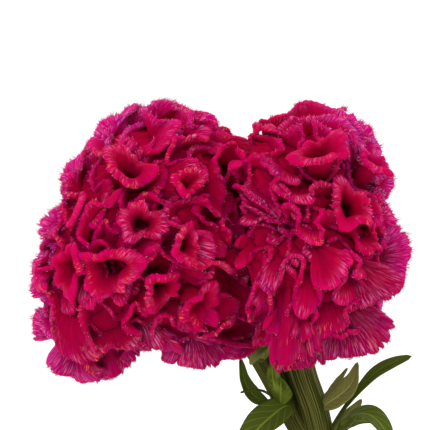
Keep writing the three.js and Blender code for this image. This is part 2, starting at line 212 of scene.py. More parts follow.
def linear(code):
    """The linear colour, with alpha, of an sRGB hex code: each channel through the sRGB curve."""
    parts = [int(code[i : i + 2], 16) / 255 for i in (1, 3, 5)]
    return tuple(c / 12.92 if c <= 0.04045 else ((c + 0.055) / 1.055) ** 2.4 for c in parts) + (1.0,)


def unit(vectors):
    """The vectors at length 1."""
    return vectors / np.maximum(np.linalg.norm(vectors, axis=-1, keepdims=True), 1e-12)


def smoothstep(low, high, x):
    """A cubic ease from 0 at low to 1 at high, flat at both ends."""
    t = np.clip((x - low) / (high - low), 0, 1)
    return t * t * (3 - 2 * t)


def sines(x, *waves):
    """A sum of sines of x, each with its amplitude, rate and phase."""
    return sum(amplitude * np.sin(rate * x + phase) for amplitude, rate, phase in waves)


def in_picture(column, row, depth):
    """The point at a depth (its y) that the picture shows at a column and row: where the camera's ray
    through that pixel reaches the depth."""
    half = PICTURE / 2
    back = np.array([0.0, -np.cos(CAMERA_RISE), np.sin(CAMERA_RISE)])
    up = np.array([0.0, np.sin(CAMERA_RISE), np.cos(CAMERA_RISE)])
    camera = AIM + back * CAMERA_DISTANCE
    seen = AIM + up * (half - row) * PIXEL + np.array([(column - half) * PIXEL, 0.0, 0.0])
    return camera + (seen - camera) * (depth - camera[1]) / (seen[1] - camera[1])


def arc_length(points):
    """Arc length along a row of points, from 0 at its first."""
    return np.concatenate([[0], np.cumsum(np.linalg.norm(np.diff(points, axis=0), axis=1))])


# Meshes


def grid(points, us, vs, round_u=False, round_v=False):
    """Quads over a grid of points, closed along u or v where asked. us and vs are the UV values of the
    grid's lines, one more than there are cells."""
    n, m = points.shape[:2]
    i = np.arange(n if round_u else n - 1)[:, None]
    j = np.arange(m if round_v else m - 1)[None, :]
    corners = ((0, 0), (1, 0), (1, 1), (0, 1))
    quads = np.stack([((i + a) % n) * m + (j + b) % m for a, b in corners], -1).reshape(-1, 4)
    places = [np.stack(np.broadcast_arrays(us[i + a], vs[j + b]), -1) for a, b in corners]
    return points.reshape(-1, 3), quads, np.stack(places, -2).reshape(-1, 4, 2)


def outward(points, faces, uvs):
    """The same surface with its faces turned so that the volume they enclose is positive."""
    a, b, c = (points[faces[:, k]] for k in (0, 1, 2))
    volume = np.einsum("ij,ij->i", a, np.cross(b, c)).sum()
    if faces.shape[1] == 4:
        d = points[faces[:, 3]]
        volume += np.einsum("ij,ij->i", a, np.cross(c, d)).sum()
    return (points, faces, uvs) if volume > 0 else (points, faces[:, ::-1], uvs[:, ::-1])


def make_piece(name, surfaces, material, slot, *nodes):
    """One smooth-shaded mesh object from closed surfaces in millimetres, with its UV map, riding on the
    root body and standing for the named frame nodes."""
    points, faces, uvs, start = [], [], [], 0
    for surface in surfaces:
        p, f, uv = outward(*surface)
        points.append(p)
        faces.extend((f + start).tolist())
        uvs.append(uv.reshape(-1, 2))
        start += len(p)
    mesh = bpy.data.meshes.new(name)
    mesh.from_pydata((np.concatenate(points) * MM).tolist(), [], faces)
    layer = mesh.uv_layers.new(name="surface")
    layer.data.foreach_set("uv", np.concatenate(uvs).astype(np.float32).ravel())
    mesh.polygons.foreach_set("use_smooth", [True] * len(mesh.polygons))
    mesh.materials.append(material)
    piece = bpy.data.objects.new(name, mesh)
    bpy.context.scene.collection.objects.link(piece)
    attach(piece, "root")
    if nodes:
        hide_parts(*nodes)


# Materials


def add_node(tree, kind, inputs=None, stops=None, **settings):
    """Adds a shader node with its settings. Each input is a value, another node's socket, or another node,
    whose first output in use is linked. stops are a colour ramp's positions and colours."""
    node = tree.nodes.new("ShaderNode" + kind)
    for key, value in settings.items():
        setattr(node, key, value)
    for key, value in (inputs or {}).items():
        if isinstance(value, bpy.types.Node):
            value = next(output for output in value.outputs if output.enabled)
        if isinstance(value, bpy.types.NodeSocket):
            tree.links.new(value, node.inputs[key])
        else:
            node.inputs[key].default_value = value
    if stops:
        ramp = node.color_ramp
        while len(ramp.elements) < len(stops):
            ramp.elements.new(0.5)
        for element, (position, colour) in zip(ramp.elements, stops):
            element.position = position
            element.color = colour
    return node


def new_material(name):
    """A material without nodes, and the function that adds a node to it."""
    material = bpy.data.materials.new(name)
    material.use_nodes = True
    material.node_tree.nodes.clear()
    return material, partial(add_node, material.node_tree)


def painted_rim_light_zone(node, body):
    """How far a point belongs to the plant's outline, which is painted paler and more magenta as a rim
    light: less towards the front and back of the combs, and less towards the plane where they press against
    each other."""
    depth = node("SeparateXYZ", {0: body}).outputs[1]
    depth = node("Math", {0: depth}, operation="ABSOLUTE")
    zone = node("MapRange", {0: depth, 1: 0.036, 2: 0.012, 4: 0.85})
    aside = node("VectorMath", {0: body, 1: tuple(PRESS_NORMAL)}, operation="DOT_PRODUCT").outputs["Value"]
    aside = node("Math", {0: aside, 1: float(PRESS_NORMAL @ PRESS_POINT) * MM}, operation="SUBTRACT")
    aside = node("Math", {0: aside}, operation="ABSOLUTE")
    aside = node("MapRange", {0: aside, 1: 0.012, 2: 0.035})
    return node("Math", {0: zone, 1: aside}, operation="MULTIPLY")


def crest_tissue(node, settings, body, height, outline, pleats, depths):
    """Plush tissue, coloured from foot to edge by a ramp that is darker towards the foot, painted shade deep
    in
    the folds, then in turn: redder and more purple patches, about 25 mm across, painted shade on the
    underside, magenta lips round the outline as a painted rim light, and darker and lighter pleats."""
    # Painted shade: the ramp darkens each fold towards its foot
    tissue = node("ValToRGB", {0: height}, depths)
    red = node("TexNoise", {"Vector": body, "Scale": 42.0, "Detail": 2.0})
    purple = node("TexNoise", {"Vector": body, "Scale": 33.0, "Detail": 1.0})
    altitude = node("SeparateXYZ", {0: body}).outputs[2]
    # Painted rim light: lips turn magenta round the outline
    lips = node("MapRange", {0: height, 1: 0.4, 2: 0.9})
    lips = node("Math", {0: outline, 1: lips}, operation="MULTIPLY")
    for source, start, end, most, colour in (
        (red, 0.42, 0.64, 0.5, tuple(settings.red)),
        (purple, 0.56, 0.74, 0.25, tuple(settings.purple)),
        # Painted shade under the combs: darker and more purple below 0.31 m
        (altitude, 0.31, 0.26, 0.65, linear("#700038")),
        (lips, 0.0, 1.0, 1.0, linear("#b80078")),
        (pleats, 0.5, 0.36, 0.14, linear("#84002a")),
        (pleats, 0.5, 0.66, 0.14, linear("#c8005c")),
    ):
        share = node("MapRange", {0: source, 1: start, 2: end, 4: most})
        tissue = node("Mix", {0: share, 6: tissue, 7: colour}, data_type="RGBA")
    return tissue


def pale_share(node, fibres, body, over, height, outline, fibre_start, fibre_least):
    """How far the fibres show: from a share of the height to the edge, most on the outer face, in patches
    with a least strength between them, and all round the outline, where they are a painted rim light. They
    fade on the rounded edge, where the fringe stands, except round the outline."""
    pale = node("MapRange", {0: fibres, 1: 0.51, 2: 0.65})
    near_edge = node("MapRange", {0: height, 1: fibre_start, 2: 1.0})
    patch = node("TexNoise", {"Vector": body, "Scale": 48.0})
    where = node("MapRange", {0: patch, 1: 0.46, 2: 0.64, 3: fibre_least, 4: 0.8})
    # Painted rim light: round the outline the fibres show fully, and on the rounded edge too
    where = node("Math", {0: where, 1: outline}, operation="MAXIMUM")
    outer = node("MapRange", {0: over, 1: 0.85, 2: 1.1, 3: 0.7})
    faded = node("MapRange", {0: height, 1: 0.93, 2: 1.0, 3: 1.0, 4: 0.25})
    faded = node("Math", {0: faded, 1: outline}, operation="MAXIMUM")
    for factor in (near_edge, where, outer, faded):
        pale = node("Math", {0: pale, 1: factor}, operation="MULTIPLY")
    return pale


def bristle_share(node, place, body, height):
    """Where orange bristles lie: in some cells of a stretched Voronoi pattern, near the edge and in
    patches."""
    cells = node("Mapping", {0: place, 3: (1700.0, 4.5, 1.0)})
    spots = node("TexVoronoi", {"Vector": cells, "Scale": 1.0}, voronoi_dimensions="2D")
    hue = node("SeparateXYZ", {0: spots.outputs["Color"]})
    patch = node("TexNoise", {"Vector": body, "Scale": 60.0, "Detail": 1.0})
    fleck = node("MapRange", {0: spots.outputs["Distance"], 1: 0.32, 2: 0.18})
    chosen = node("MapRange", {0: hue, 1: 0.62, 2: 0.66})
    upper = node("MapRange", {0: height, 1: 0.7, 2: 0.82})
    where = node("MapRange", {0: patch, 1: 0.52, 2: 0.62, 4: 0.8})
    for factor in (chosen, upper, where):
        fleck = node("Math", {0: fleck, 1: factor}, operation="MULTIPLY")
    return fleck


def velvet_crest(settings, name, depths, fibre_start, fibre_least):
    """Cockscomb crest: plush tissue with pale fibres that run to the edge and short orange bristles near it.
    Pleats about 2.5 mm apart, fibres about 0.6 mm apart and scales about 0.8 mm across raise it. The UV map
    runs along the lip in metres, and over the sheet from 0 at one face's foot through 1 at the edge to
    2."""
    material, node = new_material(name)
    place = node("UVMap", uv_map="surface")
    body = node("TexCoord").outputs["Object"]
    over = node("SeparateXYZ", {0: place}).outputs[1]
    from_edge = node("Math", {0: over, 1: 1.0}, operation="SUBTRACT")
    size = node("Math", {0: from_edge}, operation="ABSOLUTE")
    height = node("Math", {0: 1.0, 1: size}, operation="SUBTRACT")
    # The outline zone, painted paler and more magenta as a rim light
    outline = painted_rim_light_zone(node, body)
    pleat_place = node("Mapping", {0: place, 3: (420.0, 1.6, 1.0)})
    pleats = node("TexNoise", {"Vector": pleat_place, "Scale": 1.0, "Detail": 4.0})
    fibre_place = node("Mapping", {0: place, 3: (1750.0, 4.0, 1.0)})
    fibres = node("TexNoise", {"Vector": fibre_place, "Scale": 1.0, "Detail": 4.0, "Distortion": 0.4})
    scales = node("TexNoise", {"Vector": body, "Scale": 1250.0})

    tissue = crest_tissue(node, settings, body, height, outline, pleats, depths)
    pale = pale_share(node, fibres, body, over, height, outline, fibre_start, fibre_least)
    coloured = node("Mix", {0: pale, 6: tissue, 7: tuple(settings.fibre)}, data_type="RGBA")
    fleck = bristle_share(node, place, body, height)
    coloured = node("Mix", {0: fleck, 6: coloured, 7: tuple(settings.bristle)}, data_type="RGBA")
    relief = node("Math", {0: scales, 1: 0.5, 2: fibres}, operation="MULTIPLY_ADD")
    relief = node("Math", {0: pleats, 1: 0.5, 2: relief}, operation="MULTIPLY_ADD")
    finish = {
        "Base Color": coloured,
        "Roughness": 0.8,
        "Specular IOR Level": 0.015,
        "Sheen Weight": 0.05,
        "Sheen Roughness": 0.3,
        "Sheen Tint": linear("#ff2a90"),
        "Subsurface Weight": 0.6,
        "Subsurface Radius": (1.0, 0.1, 0.12),
        "Subsurface Scale": 0.008,
        "Normal": node("Bump", {"Strength": 1.0, "Distance": 0.0005, "Height": relief}),
    }
    node("OutputMaterial", {"Surface": node("BsdfPrincipled", finish)})
    return material


def crest_hair(settings):
    """Fringe hairs of the crest: crimson at the root and magenta, pink or pale towards the tip, some
    orange. The UV map runs from 0 to 1 with each hair's own tint, and from root to tip."""
    material, node = new_material("Crest fringe hair")
    xy = node("SeparateXYZ", {0: node("UVMap", uv_map="surface")})
    stops = [
        (0.0, linear("#9c0042")),
        (0.4, linear("#b8004a")),
        (0.64, linear("#d02070")),
        (0.78, linear("#e68cc0")),
        (0.93, linear("#f2c6e4")),
        (0.95, tuple(settings.bristle)),
    ]
    tint = node("ValToRGB", {0: xy}, stops)
    along = node("MapRange", {0: xy.outputs[1], 1: 0.0, 2: 0.5})
    colour = node("Mix", {0: along, 6: linear("#a20040"), 7: tint}, data_type="RGBA")
    finish = {"Base Color": colour, "Roughness": 0.6, "Specular IOR Level": 0.08}
    node("OutputMaterial", {"Surface": node("BsdfPrincipled", finish)})
    return material


def fresh_stem(settings):
    """Green stem: waxy skin with pale lengthwise ribs and brownish pink streaks. The UV map runs along the
    stem in metres, and five times round it."""
    material, node = new_material("Ribbed green stem")
    long = node("Mapping", {0: node("UVMap", uv_map="surface"), 3: (14.0, 22.0, 1.0)})
    streaks = node("TexNoise", {"Vector": long, "Scale": 1.0, "Detail": 4.0})
    stops = [
        (0.34, linear("#1e2006")),
        (0.5, tuple(settings.green)),
        (0.6, linear("#807e44")),
        (0.68, linear("#6a5038")),
    ]
    green = node("ValToRGB", {0: streaks}, stops)
    bump = node("Bump", {"Strength": 0.9, "Distance": 0.0007, "Height": streaks})
    finish = {"Base Color": green, "Roughness": 0.5, "Specular IOR Level": 0.05, "Normal": bump}
    node("OutputMaterial", {"Surface": node("BsdfPrincipled", finish)})
    return material


def fresh_leaf(name, stops, light, back):
    """Leaf: matt blade with a paler midrib and side veins, in blotches of the stops' colours, with light
    zones and another colour on its back. The UV map runs from stalk to tip, and from -1 to 1 across the
    blade, plus 4 on the underside."""
    material, node = new_material(name)
    xy = node("SeparateXYZ", {0: node("UVMap", uv_map="surface")})
    under = node("Math", {0: xy.outputs[1], 1: 2.0}, operation="GREATER_THAN")
    across = node("Math", {0: under, 1: -4.0, 2: xy.outputs[1]}, operation="MULTIPLY_ADD")
    side = node("Math", {0: across}, operation="ABSOLUTE")
    slant = node("Math", {0: side, 1: -VEIN_SLANT, 2: xy}, operation="MULTIPLY_ADD")
    beat = node("Math", {0: slant, 1: VEIN_RATE}, operation="MULTIPLY")
    wave = node("Math", {0: beat}, operation="SINE")
    veins = node("MapRange", {0: wave, 1: 0.8, 2: 1.0, 4: 0.5})
    rib = node("MapRange", {0: side, 1: 0.03, 2: 0.12, 3: 0.8, 4: 0.0})
    lines = node("Math", {0: veins, 1: rib}, operation="MAXIMUM")
    body = node("TexCoord").outputs["Object"]
    blotch = node("TexNoise", {"Vector": body, "Scale": 90.0, "Detail": 4.0})
    colour = node("ValToRGB", {0: blotch}, stops)
    # Light zones, about 20 mm across, then the back, and the veins over both
    zone = node("TexNoise", {"Vector": body, "Scale": 50.0, "Detail": 1.0})
    share = node("MapRange", {0: zone, 1: 0.48, 2: 0.64, 4: 0.6})
    for factor, other in ((share, light), (under, back), (lines, light)):
        colour = node("Mix", {0: factor, 6: colour, 7: other}, data_type="RGBA")
    sunk = node("Math", {0: lines, 1: -1.0, 2: blotch}, operation="MULTIPLY_ADD")
    bump = node("Bump", {"Strength": 0.8, "Distance": 0.0008, "Height": sunk})
    finish = {"Base Color": colour, "Roughness": 0.55, "Specular IOR Level": 0.03, "Normal": bump}
    node("OutputMaterial", {"Surface": node("BsdfPrincipled", finish)})
    return material


def fired_clay(settings):
    """Terracotta: matt fired clay, thrown in rings, with a pale mineral bloom in patches and darker
    grit."""
    material, node = new_material("Terracotta")
    body = node("TexCoord").outputs["Object"]
    grit = node("TexNoise", {"Vector": body, "Scale": 700.0, "Detail": 4.0})
    bloom = node("TexNoise", {"Vector": body, "Scale": 18.0, "Detail": 5.0})
    stops = [(0.3, linear("#9c4f30")), (0.52, tuple(settings.clay)), (0.68, linear("#cb9a7c"))]
    clay = node("ValToRGB", {0: bloom}, stops)
    speck = node("MapRange", {0: grit, 1: 0.58, 2: 0.7, 4: 0.4})
    colour = node("Mix", {0: speck, 6: clay, 7: linear("#7e3d24")}, data_type="RGBA")
    rings = node("Mapping", {0: body, 3: (4.0, 4.0, 400.0)})
    thrown = node("TexNoise", {"Vector": rings, "Scale": 1.0, "Detail": 3.0})
    relief = node("Math", {0: thrown, 1: grit}, operation="ADD")
    bump = node("Bump", {"Strength": 0.5, "Distance": 0.0003, "Height": relief})
    finish = {"Base Color": colour, "Roughness": 0.88, "Specular IOR Level": 0.3, "Normal": bump}
    node("OutputMaterial", {"Surface": node("BsdfPrincipled", finish)})
    return material


def damp_soil(settings):
    """Potting soil: dark damp peat with lighter fibres, crumbs about 2 mm across."""
    material, node = new_material("Damp potting soil")
    body = node("TexCoord").outputs["Object"]
    crumbs = node("TexNoise", {"Vector": body, "Scale": 450.0, "Detail": 5.0})
    stops = [(0.35, linear("#1c120b")), (0.52, tuple(settings.soil)), (0.68, linear("#6b4e36"))]
    colour = node("ValToRGB", {0: crumbs}, stops)
    bump = node("Bump", {"Strength": 0.9, "Distance": 0.0012, "Height": crumbs})
    finish = {"Base Color": colour, "Roughness": 0.95, "Specular IOR Level": 0.2, "Normal": bump}
    node("OutputMaterial", {"Surface": node("BsdfPrincipled", finish)})
    return material


def pale_floor():
    """Studio floor: plain pale matt board with faint clouds."""
    material, node = new_material("Pale matt floor")
    body = node("TexCoord").outputs["Object"]
    cloud = node("TexNoise", {"Vector": body, "Scale": 6.0, "Detail": 2.0})
    pale = node("ValToRGB", {0: cloud}, [(0.3, linear("#fcfcfb")), (0.7, linear("#fefefe"))])
    finish = {"Base Color": pale, "Roughness": 0.9}
    node("OutputMaterial", {"Surface": node("BsdfPrincipled", finish)})
    return material


# Crests


def dented(direction, comb):
    """The share of the hull's radius that its cups and hollows leave: for each, less by its depth times a
    Gaussian of the angle from its middle."""
    dents = [(place, radius, CUP_DENT) for place, radius in comb["cups"]] + comb["hollows"]
    share = 1.0
    for place, radius, depth in dents:
        middle = in_picture(*place) - comb["centre"]
        distance = np.linalg.norm(middle)
        spread = (0.8 * radius / distance) ** 2
        share = share - depth * np.exp((direction @ middle / distance - 1) / spread)
    return share


def hull_radius(direction, comb):
    """Distance from the comb's centre to its hull: the outline's radius in that direction, by Catmull-Rom
    between its values, drawn in towards the half depth as on an ellipsoid, dented by its cups and hollows,
    and cut short at the plane where the combs press against each other."""
    outline = np.array(comb["outline"], float)
    count = len(outline)
    place = (np.arctan2(direction[..., 2], direction[..., 0]) / TAU * count) % count
    index = np.floor(place).astype(int) % count
    t = place - np.floor(place)
    a, b, c, d = (outline[(index + k) % count] for k in (-1, 0, 1, 2))
    bent = (2 * a - 5 * b + 4 * c - d) * t**2 + (3 * b - a - 3 * c + d) * t**3
    front = 0.5 * (2 * b + (c - a) * t + bent)
    flat = np.hypot(direction[..., 0], direction[..., 2]) / front
    free = dented(direction, comb) / np.hypot(flat, direction[..., 1] / comb["half_depth"])
    room = PRESS_NORMAL @ (PRESS_POINT - comb["centre"])
    slope = direction @ PRESS_NORMAL * np.sign(room)
    return np.where(slope > 0.05, np.minimum(free, (abs(room) - PRESS_GAP) / np.maximum(slope, 0.05)), free)


def wander(direction, comb, bend=0.16, rate=3.0):
    """Each direction is bent by three smooth sines of itself, so that the rings wander and never cross."""
    rng = np.random.default_rng(comb["seed"])
    waves = rate * unit(rng.normal(size=(3, 3)))
    phase = rng.uniform(0, TAU, 3)
    return unit(direction + bend * np.sin(direction @ waves.T + phase))


def crown_frame(comb):
    """The comb's crown axis and two axes square to it."""
    crown = unit(np.array(comb["crown"], float))
    right = unit(np.cross([0.0, 1.0, 0.0], crown))
    return crown, right, np.cross(crown, right)


def towards(comb, polar, around):
    """Unit direction at a polar angle from the crown and an angle round it."""
    crown, right, up = crown_frame(comb)
    polar, around = (a[..., None] for a in np.broadcast_arrays(polar, around))
    return np.cos(polar) * crown + np.sin(polar) * (np.cos(around) * right + np.sin(around) * up)


def sheet_normals(points):
    """Unit normals of a grid that closes along its first axis, from central differences."""
    along = np.roll(points, -1, 0) - np.roll(points, 1, 0)
    return unit(np.cross(along, np.gradient(points, axis=1)))


def rim_length(middle):
    """Arc length along a sheet's closed edge, from 0 at its first column through all columns and back."""
    return arc_length(np.vstack([middle[:, -1], middle[:1, -1]]))


def fold_plan(comb, polar, size, settings):
    """The plan of a ring's folds, at even angles round the crown: the angles, how much the folds crowd
    there, how full they stand, the phase of their swing, which gains in step with the crowding, and the
    count of folds. The crowding is raised by a Gaussian round each direction of fineness."""
    table = np.linspace(0, TAU, 721)
    plain = wander(towards(comb, np.full_like(table, polar), table), comb)
    fineness = 1 + sum(
        strength * np.exp(-(1 - plain @ unit(np.array(direction, float))) / 0.3)
        for direction, strength in comb["fineness"]
    )
    crowding = fineness * (1.0 if size == 1 else 1.1)
    fill = np.ones_like(table) if size == 1 else 0.6 + 0.4 * smoothstep(1.0, 1.35, fineness)
    way_round = TAU * np.sin(polar) * MEAN_RADIUS
    folds = max(3, round(way_round / (settings.fold_length / MM) * crowding.mean()))
    swings = np.concatenate([[0], np.cumsum(crowding[1:] + crowding[:-1])])
    swings *= TAU * folds / swings[-1]
    return table, crowding, fill, swings, folds


def ruffled(middle, phase, settings):
    """A ring's middle surface with its edge ruffled: patches of a warped sine and a faster one, both
    growing by a power of the height. Its arc length is that of the plain edge."""
    length = rim_length(middle)
    along = TAU * length[:-1, None] / length[-1]
    ruffles = int(length[-1] / RUFFLE_WAVE) // 2 * 2
    slow = max(2, ruffles // 5)
    patchy = 0.5 + 0.5 * np.sin(slow * along + phase[9] + np.sin(2 * along))
    wobble = patchy * np.sin(ruffles * along + 2.2 * np.sin(slow * along + phase[10]) + phase[11])
    crimp = np.sin(3.2 * ruffles * along + 1.5 * np.sin(slow * along + phase[13]))
    push = settings.ruffle / MM * (wobble * ROWS**3 + 0.3 * crimp * ROWS**5)
    return middle + sheet_normals(middle) * push[..., None], length


def crest_ring(comb, number, polar, size, settings):
    """The middle surface of one ring of crest, with its arc length along the lip. size is 1 for a full
    ring, and less for a small one that fills the valley between two, lower where the folds are coarse.

    Its foot runs plainly round the crown's axis. With height it grows too long for its place and swings
    from side to side: across the ring by a sine, and along it by a sine of twice the rate, so each fold is
    wider at its lip than at its neck. The swing grows evenly with height while the distance from the centre
    follows a sine that passes its top before the edge, so a fold opens like a funnel and its lip rolls
    over. Every lip leans away from the crown by a power of its height. Faster, patchy sines ruffle the
    edge, and narrow dips notch it. The columns are spaced evenly along the edge."""
    rng = np.random.default_rng(comb["seed"] * 100 + number)
    phase = rng.uniform(0, TAU, 18)
    dips = int(20 + 40 * np.sin(polar))
    dip_places, dip_widths = rng.uniform(0, TAU, dips), rng.uniform(0.006, 0.014, dips)
    dip_depths = rng.uniform(0.02, 0.16, dips)
    lump_wave = 9 * unit(rng.normal(size=3))

    table, crowding, fill, swings, folds = fold_plan(comb, polar, size, settings)
    uneven = min(1.0, folds / 8)

    def sheet(turn, rows):
        fine, filled, swing = (np.interp(turn, table, values) for values in (crowding, fill, swings))
        swing = swing + uneven * sines(turn, (0.8, 1, phase[0]), (0.6, 2, phase[1]), (0.5, 5, phase[2]))
        reach = settings.fold_reach / fine**0.6 * (1 + 0.25 * np.sin(2 * turn + phase[3]))
        reach = reach * (1 + 0.3 * np.sin(np.round(folds * 0.4) * turn + phase[4]))
        neck = 0.78 + 0.25 * np.sin(3 * turn + phase[5])
        apart = np.angle(np.exp(1j * (turn - dip_places)))
        notch = np.max(dip_depths * np.exp(-((apart / dip_widths) ** 2)), axis=1, keepdims=True)
        share = rows * (1 - notch)
        grown = 0.1 + 0.9 * share**1.15
        lean = settings.lean * size * (1 + 0.35 * np.sin(3 * turn + phase[14]))
        around = turn - neck * np.sin(2 * swing) * grown * crowding.mean() / (folds * fine)
        angle = polar + reach * np.sin(swing) * grown + lean * share**2.4
        direction = wander(towards(comb, angle, around), comb)
        top = 0.95 + 0.035 * np.sin(direction @ lump_wave + phase[6]) + 0.02 * np.sin(3 * swing + phase[8])
        top = top + 0.03 * np.sin(0.5 * folds * turn + 2 * np.sin(turn) + phase[7])
        over = settings.roll * (1 + 0.1 * np.sin(7 * turn + phase[12]))
        foot = settings.core_share * 0.97
        height = (top - foot) * (0.35 + 0.65 * size) * filled
        radius = (foot + height * np.sin(over * share**1.2)) * hull_radius(direction, comb)
        return radius[..., None] * direction + comb["centre"]

    edge = sheet(table[:, None], np.ones((1, 1)))[:, 0]
    steps = np.linalg.norm(np.diff(edge, axis=0), axis=1) * np.clip(fill[1:], 0.06, 1)
    reached = np.concatenate([[0], np.cumsum(steps)])
    columns = int(reached[-1] / (settings.column_step / MM))
    turn = np.interp(np.arange(columns) / columns * reached[-1], reached, table)[:, None]
    return ruffled(sheet(turn, ROWS), phase, settings)


def crest_fan(root, tip, spread, arch, number, settings):
    """The middle surface of an open fan of crest, with its arc length along the rim. It runs from the root
    over the spread like a shell, its middle arched towards the viewer, its rim waved by sines and notched
    by narrow dips. Both ends of the rim run back to the root."""
    rng = np.random.default_rng(900 + number)
    phase = rng.uniform(0, TAU, 4)
    root, tip = in_picture(*root), in_picture(*tip)
    reach = np.linalg.norm(tip - root)
    out = (tip - root) / reach
    face = unit(np.cross(np.cross(out, [0.0, -1.0, 0.1]), out))
    side = np.cross(out, face)
    rim = np.radians(spread) * reach
    u = np.linspace(-1, 1, int((rim + 2 * reach) / (settings.column_step / MM)))[:, None]
    dips = int(rim / 4.5)
    dip_places, dip_depths = rng.uniform(-1, 1, dips), rng.uniform(0.03, 0.15, dips)
    notch = np.max(dip_depths * np.exp(-(((u - dip_places) * rim / 1.6) ** 2)), axis=1, keepdims=True)
    angle = np.radians(spread) / 2 * np.sign(u) * np.abs(u) ** 0.8
    outline = (1 - np.abs(u) ** 12) ** 0.5 * (1 - notch) * (1 + 0.06 * np.sin(4 * angle + phase[0]))
    radius = reach * ROWS * outline
    waves = np.sin(rim / 7 * u + 2 * np.sin(2 * u + phase[1]) + phase[2])
    waves = waves + 0.35 * np.sin(rim / 2.4 * u + phase[3])
    billow = sines(u, (0.45, 3.4, phase[1]), (0.25, 7.5, phase[2])) * ROWS**1.2
    lift = arch * (np.sin(0.62 * np.pi * ROWS) - 1.2 * angle**2 * ROWS + billow)
    lift = lift + settings.ruffle / MM * waves * ROWS**2
    lift = lift * outline
    spokes = np.cos(angle)[..., None] * out + np.sin(angle)[..., None] * side
    middle = root + radius[..., None] * spokes + lift[..., None] * face
    return middle, rim_length(middle)


def crest_cup(comb, place, radius, number, settings):
    """The middle surface of an open cup of crest, with its arc length along the rim. It faces away from the
    comb's centre: steep walls from a throat of two fifths of its radius, whose height follows a sine of the
    row that passes its top before the rim, so the rim rolls outwards. Slow sines make it lobed, tilted and
    uneven, and faster ones ruffle it."""
    rng = np.random.default_rng(700 + comb["seed"] * 10 + number)
    phase = rng.uniform(0, TAU, 7)
    rim = in_picture(*place)
    axis = unit(rim - comb["centre"])
    right = unit(np.cross(axis, [0.0, 0.0, 1.0]))
    up = np.cross(right, axis)
    u = np.linspace(0, TAU, int(1.5 * TAU * radius / (settings.column_step / MM)), endpoint=False)[:, None]
    lobed = sines(u, (0.22, 2, phase[0]), (0.16, 3, phase[1]), (0.09, 5, phase[2]))
    waves = np.sin(9 * u + 2 * np.sin(2 * u + phase[5]) + phase[6]) + 0.3 * np.sin(23 * u + phase[3])
    ruffle = settings.ruffle / MM * waves * ROWS**3
    out = radius * (0.4 + 0.6 * ROWS**2) * (1 + lobed * (0.4 + 0.6 * ROWS)) + 0.6 * ruffle
    uneven = sines(u, (0.28, 1, phase[4]), (0.14, 3, phase[3]), (0.12, 4, phase[4]))
    height = radius * (1.6 * (np.sin(1.9 * ROWS) - 1) - 0.1 + uneven * ROWS) + 0.6 * ruffle
    spokes = np.cos(u)[..., None] * right + np.sin(u)[..., None] * up
    middle = rim + out[..., None] * spokes + height[..., None] * axis
    return middle, rim_length(middle)


def crest_sheet(middle, length, number):
    """The closed sheet round a middle surface: both faces at half the thickness, a rounded edge, and the
    foot closed. The sheet is thickest where the lip turns over. The number sets its piece of the UV map
    apart."""
    normal = sheet_normals(middle)
    half = (FOOT_HALF + (LIP_HALF - FOOT_HALF) * smoothstep(0.15, 0.9, ROWS))[..., None]
    ahead = unit(middle[:, -1] - middle[:, -2])
    bend = np.array([0.25, 0.5, 0.75]) * np.pi
    round_edge = middle[:, -1:] + half[:, -1:] * (
        np.cos(bend)[:, None] * normal[:, -1:] + 0.9 * np.sin(bend)[:, None] * ahead[:, None]
    )
    points = np.concatenate([middle + normal * half, round_edge, (middle - normal * half)[:, ::-1]], 1)
    over = np.concatenate([ROWS[0], [1.0, 1.0, 1.0], 2 - ROWS[0][::-1], [2.0]])
    return grid(points, length * MM + number, over, True, True)


def core_surface(comb, share):
    """The comb's core: the hull drawn in to a share of its radius, raised in small meandering ridges by the
    distance of a warped sine from zero, closed at both poles. Its UV map gives it the darker colour of a
    fold's side low on the ramp, painted shade deep in the comb."""
    # The core takes the ramp's colour at this height, darker than the lips: painted shade deep in the comb
    rows, columns, flank_shade = 90, 180, 0.35
    polar = np.linspace(0.002, np.pi - 0.002, rows)[:, None]
    around = np.linspace(0, TAU, columns, endpoint=False)[None, :]
    direction = towards(comb, polar, around)
    bent = wander(wander(direction, comb, 0.5, 5.0), comb, 0.3, 9.0)
    ridges = 1 - np.abs(np.sin(bent @ np.array([13.0, 9.0, 15.0])))
    radius = share * (1 + 0.05 * ridges) * hull_radius(direction, comb)
    points = radius[..., None] * direction + comb["centre"]
    points[0] = points[0].mean(0)
    points[-1] = points[-1].mean(0)
    return grid(points, np.zeros(rows), np.full(columns + 1, flank_shade), False, True)


def crest_rings(comb, settings):
    """Every ring of a comb from the crown to the stem, with a small ring in each valley between two."""
    rings = []
    polars = np.arange(settings.first_ring, settings.last_ring, settings.ring_step / 2)
    for number, polar in enumerate(polars):
        size = 1.0 if number % 2 == 0 else settings.small_ring
        rings.append(crest_ring(comb, number, polar, size, settings))
    return rings


def tufts(roots, directions, flats, lengths, widths, tints):
    """Flat three-sided spikes with closed roots, as triangles. Each tip lies at its length along its
    direction. Two root points lie to the sides, square to the flat's direction, and the third a little
    along it."""
    side = unit(np.cross(directions, flats)) * widths[:, None]
    corners = [roots - side, roots + side, roots + 0.16 * flats]
    points = np.stack([*corners, roots + lengths[:, None] * directions], 1).reshape(-1, 3)
    first = np.arange(len(roots))[:, None] * 4
    faces = np.stack([first + np.array(t) for t in ((0, 1, 3), (1, 2, 3), (2, 0, 3), (2, 1, 0))], 1)
    rise = np.array([[0, 0, 1], [0, 0, 1], [0, 0, 1], [0, 0, 0]], float)
    uv = np.stack(np.broadcast_arrays(tints[:, None, None], rise[None]), -1)
    return points, faces.reshape(-1, 3), uv.reshape(-1, 3, 2)


